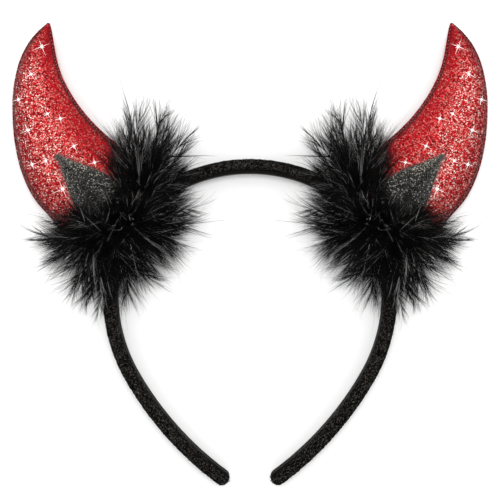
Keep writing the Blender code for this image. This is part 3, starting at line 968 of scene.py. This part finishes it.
def leafMaterial():
    # Charcoal felt: mottled wool with pale flecks, gold ones gathered where the tint says, and painted
    # shade from the tint's green
    material, tree, shader = newMaterial("leaf_felt", {"Roughness": 0.9, "Specular IOR Level": 0.06})
    place = objectPlace(tree)
    wool = noise(tree, place, leafLook["woolScale"], 6.0)
    mask = tintOf(tree)
    dusty, shade = channel(tree, mask, 0), channel(tree, mask, 1)
    draw = channel(tree, cells(tree, place, leafLook["fleckScale"]), 0)
    base = mixColour(tree, wool**3 * 2.4, leafLook["felt"], leafLook["wool"])
    plain = mixColour(tree, draw > 0.92, base, leafLook["fleck"])
    gold = mixColour(tree, draw + dusty * 0.4 > 1.05, plain, leafLook["gold"])
    # Painted shade: darker along the fold's crease and towards the root
    shaded = mixColour(tree, shade * 0.8, gold, leafLook["felt"])
    feed(tree, shader, {"Base Color": shaded, "Normal": bumped(tree, wool, 0.8, 0.4 * mm)})
    return material


def fuzzMaterial():
    # Grey fibres, some much darker
    material, tree, shader = newMaterial("leaf_fuzz", {"Roughness": 0.9, "Specular IOR Level": 0.1})
    grey = noise(tree, objectPlace(tree), 800.0)
    feed(tree, shader, {"Base Color": mixColour(tree, grey, (0.02, 0.02, 0.02), (0.30, 0.29, 0.27))})
    return material


def leafGrid():
    # The leaf's middle face in mm as a grid: plan, lift, place across it (-1 to 1), and masks for the tint:
    # gold flecks, and painted shade.
    # Lift = fold x (1 - |across|)^1.2, less the crease, plus a sine that grows towards the edges
    rows, columns = leafLook["grid"]
    table = smoothRows(leafLook["rows"], rows)
    along, left, right = table[:, 0:1], table[:, 1:2], table[:, 2:3]
    heading = math.radians(leafLook["heading"])
    forward = np.array([math.cos(heading), math.sin(heading)])
    leftward = np.array([-forward[1], forward[0]])
    share = np.linspace(-1, 1, columns)[None]
    side = -share * np.where(share < 0, left, right).clip(0.05, None)
    plan = np.array(leafLook["root"]) + forward * along[..., None] + leftward * side[..., None]
    depth, width = leafLook["crease"]
    lift = leafLook["fold"] * (1 - np.abs(share)) ** 1.2 - depth * np.exp(-np.abs(side) / width)
    lengthwise, crosswise = leafLook["wavePitch"]
    lift = lift + leafLook["wave"] * np.sin(along * lengthwise + share * crosswise) * np.abs(share)
    outward = along / along[-1]
    # Painted shade: a dark line along the crease, and darker towards the root
    shade = np.exp(-np.abs(side) / leafLook["creaseWidth"]) + leafLook["rootShade"] * (1 - outward) ** 1.4
    dusty = np.clip(outward * 1.2 - 0.45, 0, 1) + leafLook["edgeDust"] * np.clip(share, 0, 1) ** 3
    return plan, lift, share, np.stack([dusty, shade.clip(0, 1), shade.clip(0, 1)], axis=-1)


def leafShape():
    # Upper and lower faces stand half the thickness x sqrt(1 - |across|^14) off the middle face.
    # Gives the shape, its tint, and the upper face
    plan, lift, share, masks = leafGrid()
    half = leafLook["thickness"] / 2
    middle = leafLook["under"] + half + lift
    height = half * np.sqrt(np.clip(1 - np.abs(share) ** 14, 0, 1))
    upper = np.concatenate([plan, (middle + height)[..., None]], axis=-1) * mm
    lower = np.concatenate([plan, (middle - height)[..., None]], axis=-1) * mm
    shape = ringTube(np.concatenate([upper[:, :-1], lower[:, :0:-1]], axis=1))
    tint = np.concatenate([masks[:, :-1], masks[:, :0:-1]], axis=1).reshape(-1, 3)
    ends = [[0.0, 0.5, 0.5], [1.0, 0.0, 0.0]]  # tint of the points at the root and the tip
    return shape, np.concatenate([tint, ends]), upper


def fuzzShape(upper):
    # Fibres on the upper face, half of them at its edges, each bent aside by a square of the way along it
    rng = np.random.default_rng(41)
    rows, columns, _ = upper.shape
    count = leafLook["fuzz"]
    row, column = rng.integers(1, rows, count), rng.integers(0, columns, count)
    column[: count // 2] = np.where(rng.random(count // 2) > 0.5, 0, columns - 1)
    lean = rng.normal(size=(count, 3)) * np.array([1.0, 1.0, 0.35]) + np.array([0.0, 0.0, 0.3])
    length = rng.uniform(*leafLook["fuzzLength"], count)[:, None, None]
    step = np.linspace(0, 1, 4)[None, :, None]
    bend = across(lean, rng)[:, None] * step**2 * 0.5
    paths = upper[row, column][:, None] + (unit(lean)[:, None] * step + bend) * length
    return strandShape(paths, np.full((count, 4), leafLook["fuzzRadius"]))


def buildLeaves():
    # Each leaf is a sheet of felt laid on its horn, with its fuzz
    shape, tint, upper = leafShape()
    leaves = settlePair("leafFelt_{}", shape, leafMaterial(), "leaf_felt", node="leaf_{}", tint=tint)
    fuzz = settlePair("leafFuzz_{}", fuzzShape(upper), fuzzMaterial(), "leaf_felt")


# Marabou: plumes that spring from the band, each a shaft with fine barbs along it

puffLook = {
    # Places, lengths and radii are in mm
    "centre": (-55.0, 17.5, 12.0),
    "up": 21.0,  # reach of a plume that stands upright
    "reach": (
        # heading in degrees, mm from the centre
        (0, 34), (30, 35.5), (63, 44.5), (83, 41), (96, 31), (115, 24), (140, 22), (160, 24), (175, 33),
        (190, 39), (213, 40), (228, 38), (241, 40), (256, 44), (270, 37), (286, 31), (303, 30.5),
        (325, 33.5),
    ),
    "fans": (
        # root x, y, first and last heading, plumes, lowest and highest slope, share of the reach from, to,
        # and length of the barbs in mm
        (-48.0, 23.0, 26, 98, 25, -8, 45, 0.72, 1.10, 17.0),
        (-44.0, 28.0, 20, 42, 7, 6, 24, 0.60, 0.88, 9.0),
        (-50.0, 20.0, 90, 108, 3, 5, 35, 0.70, 1.05, 9.0),
        (-55.0, 13.5, -58, 26, 18, -14, 55, 0.62, 0.92, 17.0),
        (-60.0, 8.5, 203, 304, 27, -14, 45, 0.70, 1.04, 17.0),
        (-60.5, 7.0, 187, 216, 11, -8, 30, 0.74, 0.98, 14.0),
        (-61.0, 9.5, 174, 202, 8, 22, 50, 0.50, 0.80, 12.0),
        (-60.5, 1.0, 247, 266, 10, 3, 18, 0.70, 1.0, 9.0),
        (-56.0, 13.0, 80, 150, 5, 15, 40, 0.28, 0.48, 5.5),
        (-55.0, 13.5, -70, 85, 12, 30, 80, 0.45, 0.75, 13.0),
        (-58.0, 10.0, 180, 290, 7, 30, 75, 0.45, 0.75, 13.0),
    ),
    "slopeDraw": (1.1, 1.8),  # the two numbers of a beta draw: more plumes lie low than stand up
    "rootHeight": 12.5,
    "rootScatter": (1.8, 1.8, 0.5),
    "arch": (3.0, 0.12),  # rise of a shaft's middle: mm, and share of its length
    "archScatter": 2.2,
    "clusters": 23,
    "each": 6,
    "clusterRun": (0.02, 0.95),  # where along a shaft the bunches begin, and the share that they take up
    "clusterBlur": 0.02,
    "bends": 3,  # straight lengths that make up a barb
    "shorten": (1.1, 0.3),  # length of the barbs at the root of a shaft, and how much less at its tip
    "bunchLength": (0.6, 1.2),
    "barbLength": (0.75, 1.2),
    "spread": (46, 30),  # degrees between barb and shaft at its root, and how much less at its tip
    "spreadScatter": (9, 4),  # degrees, of a bunch and of each barb
    "roll": (0.6, 0.15),  # radians about the shaft, of a bunch and of each barb
    "follow": 0.16,  # how much a barb turns back to the shaft's line at each bend
    "curl": (0.13, 0.09),  # how much it curls at its first bend, and the growth at each later one
    "ownCurl": 0.35,  # a barb's own curl beside that of its bunch
    "droop": 0.055,
    "strayShare": 0.012,
    "stray": 1.75,  # how much longer the stray barbs are
    "radius": 0.096,
    "tipRadius": 0.024,
    "shaftRadius": (0.22, 0.05),
    "black": 0.001,
    # Grey barbs and bunches stand for strands that catch the light: painted highlights
    "grey": 0.55,
    "greyShare": 0.04,
    "greyBunches": 0.012,
    "greyThin": 0.75,
    "warmth": (1.0, 0.98, 0.97),
    "bandSide": 2.6,  # distance from the band line within which the fur lies on top of the band
    "bandTop": 11.3,
    "overHorn": 0.3,
    "overTable": 0.4,
    "crest": 31.0,  # height past which only a share of it is kept
    "crestShare": 0.35,
    "core": (-57.0, 10.5, 10.4),
    "coreShare": 0.40,
    "coreInset": 3.5,
    "coreHeight": 4.5,
    "coreTone": 0.0015,
}


def reachAt(heading):
    # Reach of the fur at a heading, eased between the table's rows
    table = np.array([*puffLook["reach"], (360, puffLook["reach"][0][1])], dtype=float)
    heading = np.mod(heading, 360)
    index = np.clip(np.searchsorted(table[:, 0], heading, side="right") - 1, 0, len(table) - 2)
    start, end = table[index, 1], table[index + 1, 1]
    return start + (end - start) * ease(heading, table[index, 0], table[index + 1, 0])


def furMaterial():
    # Black barbs in the tint's tone, grey where highlights are painted, with a faint sheen along them
    material, tree, shader = newMaterial("marabou", {"Roughness": 0.42, "Specular IOR Level": 0.08})
    drift = noise(tree, objectPlace(tree), 90.0)
    feed(tree, shader, {"Base Color": mixColour(tree, drift * 0.5, tintOf(tree), (0.006, 0.006, 0.006))})
    return material


def plumeShafts(rng):
    # Ends of the shafts, and the length of their barbs: a root on the band, and a tip at a share of the
    # reach in its direction
    roots, tips, barbs = [], [], []
    centre, up = np.array(puffLook["centre"]), puffLook["up"]
    for x, y, first, last, count, low, high, near, far, barb in puffLook["fans"]:
        heading = first + (last - first) * (np.arange(count) + rng.random(count)) / count
        slope = np.radians(low + (high - low) * rng.beta(*puffLook["slopeDraw"], count))
        level = np.cos(slope)
        share = rng.uniform(near, far, count)
        flat = share * level * (up + (reachAt(heading) - up) * level**2)
        angle = np.radians(heading)
        away = np.stack([flat * np.cos(angle), flat * np.sin(angle), share * np.sin(slope) * up], axis=-1)
        tips.append(centre + away)
        scatter = rng.normal(size=(count, 3)) * np.array(puffLook["rootScatter"])
        roots.append(np.array([x, y, puffLook["rootHeight"]]) + scatter)
        barbs.append(np.full(count, barb))
    return np.concatenate(roots), np.concatenate(tips), np.concatenate(barbs)


def growBarbs(rng):
    # Shafts are quadratic curves. Bunches of barbs leave them, wide low down and narrow at the tip, and
    # bend back towards their line. Gives all paths in mm, shafts first, and the number of shafts
    roots, tips, lengths = plumeShafts(rng)
    plumes, bunches, each = len(roots), puffLook["clusters"], puffLook["each"]
    one = (plumes, bunches, 1, 1)
    every = (plumes, bunches, each, 1)
    rise, risePart = puffLook["arch"]
    middle = (roots + tips) / 2
    middle[:, 2] += rise + risePart * np.linalg.norm(tips - roots, axis=1)
    middle += rng.normal(size=middle.shape) * puffLook["archScatter"]
    r, m, e = (points[:, None, None] for points in (roots, middle, tips))
    begins, run = puffLook["clusterRun"]
    t = (np.arange(bunches)[None] + rng.random((plumes, bunches)))[..., None, None] / bunches
    t = t * run + begins
    t = np.clip(t + rng.normal(size=every) * puffLook["clusterBlur"], 0.0, 1.0)
    start = r * (1 - t) ** 2 + m * 2 * t * (1 - t) + e * t**2
    tangent = unit((m - r) * (1 - t) + (e - m) * t)
    flat = unit(np.cross(tangent, np.array([0.0, 0.0, 1.0])))
    normal = np.cross(flat, tangent)
    hand = np.where(rng.random(one) > 0.5, 1.0, -1.0)
    ofBunch, ofBarb = puffLook["roll"]
    roll = rng.normal(size=one) * ofBunch + rng.normal(size=every) * ofBarb
    aside = flat * hand * np.cos(roll) + normal * np.sin(roll)
    wide, narrows = puffLook["spread"]
    ofBunch, ofBarb = puffLook["spreadScatter"]
    spread = wide - narrows * t + rng.normal(size=one) * ofBunch + rng.normal(size=every) * ofBarb
    spread = np.radians(spread)
    longest, less = puffLook["shorten"]
    length = lengths[:, None, None, None] * (longest - less * t)
    length = length * rng.uniform(*puffLook["bunchLength"], one)
    length = length * rng.uniform(*puffLook["barbLength"], every)
    length = length * np.where(rng.random(every) < puffLook["strayShare"], puffLook["stray"], 1.0)
    curl = unit(rng.normal(size=(plumes, bunches, 1, 3)))
    curl = curl + unit(rng.normal(size=start.shape)) * puffLook["ownCurl"]
    direction = tangent * np.cos(spread) + aside * np.sin(spread)
    bends = puffLook["bends"]
    first, more = puffLook["curl"]
    droop = np.array([0.0, 0.0, puffLook["droop"]])
    steps = [start]
    for turn in range(bends):
        turned = direction + tangent * puffLook["follow"] + curl * (first + more * turn) - droop
        direction = unit(turned)
        steps.append(steps[-1] + direction * length / bends)
    barbs = np.stack(steps, axis=3).reshape(-1, bends + 1, 3)
    along = np.linspace(0, 1, bends + 1)[None, :, None]
    shafts = roots[:, None] * (1 - along) ** 2 + middle[:, None] * 2 * along * (1 - along)
    shafts = shafts + tips[:, None] * along**2
    return np.concatenate([shafts, barbs]), len(shafts)


def lowestHeight(plan):
    # Height in mm below which a point seen at this place would lie in the table, the band or the horn
    spots, _ = bandPoints(np.linspace(20, 110, 90) * mm)
    away = np.linalg.norm(plan[:, None] - spots[:, :2] / mm, axis=-1).min(1)
    floor = np.where(away < puffLook["bandSide"], puffLook["bandTop"], puffLook["overTable"])
    table = hornTable()
    reach = (table[:, 0:2] - table[:, 2:4]) / 2
    width = np.linalg.norm(reach, axis=1)
    offset = plan[:, None] - (table[:, 0:2] + table[:, 2:4]) / 2
    nearest = np.argmin((offset**2).sum(-1), axis=1)
    offset = offset[np.arange(len(plan)), nearest]
    reach, width, half = reach[nearest], width[nearest], table[nearest, 4]
    u = (offset * reach).sum(1) / width**2
    inside = (np.abs(u) < 1) & (np.linalg.norm(offset, axis=1) < width)
    crown = hornLook["middle"] / mm + half * (1 - u**2).clip(0, 1) ** 0.4 + puffLook["overHorn"]
    return np.where(inside, np.maximum(floor, crown), floor)


def liftOver(points):
    # Raises points to the lowest height that is free, and presses down what stands over the crest
    flat = points.reshape(-1, 3)
    floor = np.concatenate([lowestHeight(part) for part in np.array_split(flat[:, :2], 4)])
    flat[:, 2] = np.maximum(flat[:, 2], floor)
    over = np.maximum(flat[:, 2] - puffLook["crest"], 0)
    flat[:, 2] -= over * (1 - puffLook["crestShare"])
    return flat.reshape(points.shape)


def buildCores(fur):
    # A close black down in the middle of each puff: a flattened ball that follows the fur's reach
    level = np.radians(np.linspace(-80, 84, 16))[:, None]
    heading = np.linspace(0, 360, 40, endpoint=False)
    radius = reachAt(heading)[None] * puffLook["coreShare"] - puffLook["coreInset"]
    angle = np.radians(heading)[None]
    x, y, z = puffLook["core"]
    rings = np.stack([
        x + radius * np.cos(level) * np.cos(angle), y + radius * np.cos(level) * np.sin(angle),
        z + puffLook["coreHeight"] * np.sin(level) + 0 * angle,
    ], axis=-1) * mm
    points, faces = ringTube(rings)
    tint = np.full((len(points), 3), puffLook["coreTone"])
    settlePair("marabouDown_{}", (points, faces), fur, "marabou", tint=tint)


def furTones(rng, count, shafts):
    # Near black, but for scattered grey barbs and whole grey bunches, which are painted highlights. Gives
    # the tint, and which are grey
    tone = puffLook["black"] * rng.uniform(0.4, 1.8, (count, 1))
    each = puffLook["each"]
    bunch = np.concatenate([np.zeros(shafts), np.repeat(rng.random((count - shafts) // each), each)])
    pale = (rng.random(count) < puffLook["greyShare"]) | (bunch > 1 - puffLook["greyBunches"])
    tone[pale] = puffLook["grey"] * rng.uniform(0.4, 1.6, (pale.sum(), 1))
    return tone * np.array(puffLook["warmth"]), pale


def buildPuffs():
    # All strands of a puff, shuffled into two pieces of equal size
    rng = np.random.default_rng(5)
    paths, shafts = growBarbs(rng)
    paths = liftOver(paths)
    count, knots, _ = paths.shape
    taper = np.linspace(puffLook["radius"], puffLook["tipRadius"], knots)
    radii = taper[None] * rng.uniform(0.7, 1.3, (count, 1))
    radii[:shafts] = np.linspace(*puffLook["shaftRadius"], knots)
    tint, pale = furTones(rng, count, shafts)
    radii[pale] *= puffLook["greyThin"]
    fur = furMaterial()
    buildCores(fur)
    for part, chosen in zip(("under", "over"), np.array_split(rng.permutation(count), 2)):
        shape = strandShape(paths[chosen] * mm, radii[chosen] * mm)
        settlePair(
            "marabou_{}_" + part, shape, fur, "marabou", node="feather_puff_{}", tint=tint[chosen]
        )
    print("marabou strands a side:", count)


# Main

makeCamera()
makeLight()
makeTable()
print("camera, light and table done")
buildBand()
print("band done")
buildLining()
print("lining done")
buildHorns()
buildGlints()
print("horns done")
buildLeaves()
print("leaves done")
buildPuffs()
print("puffs done")
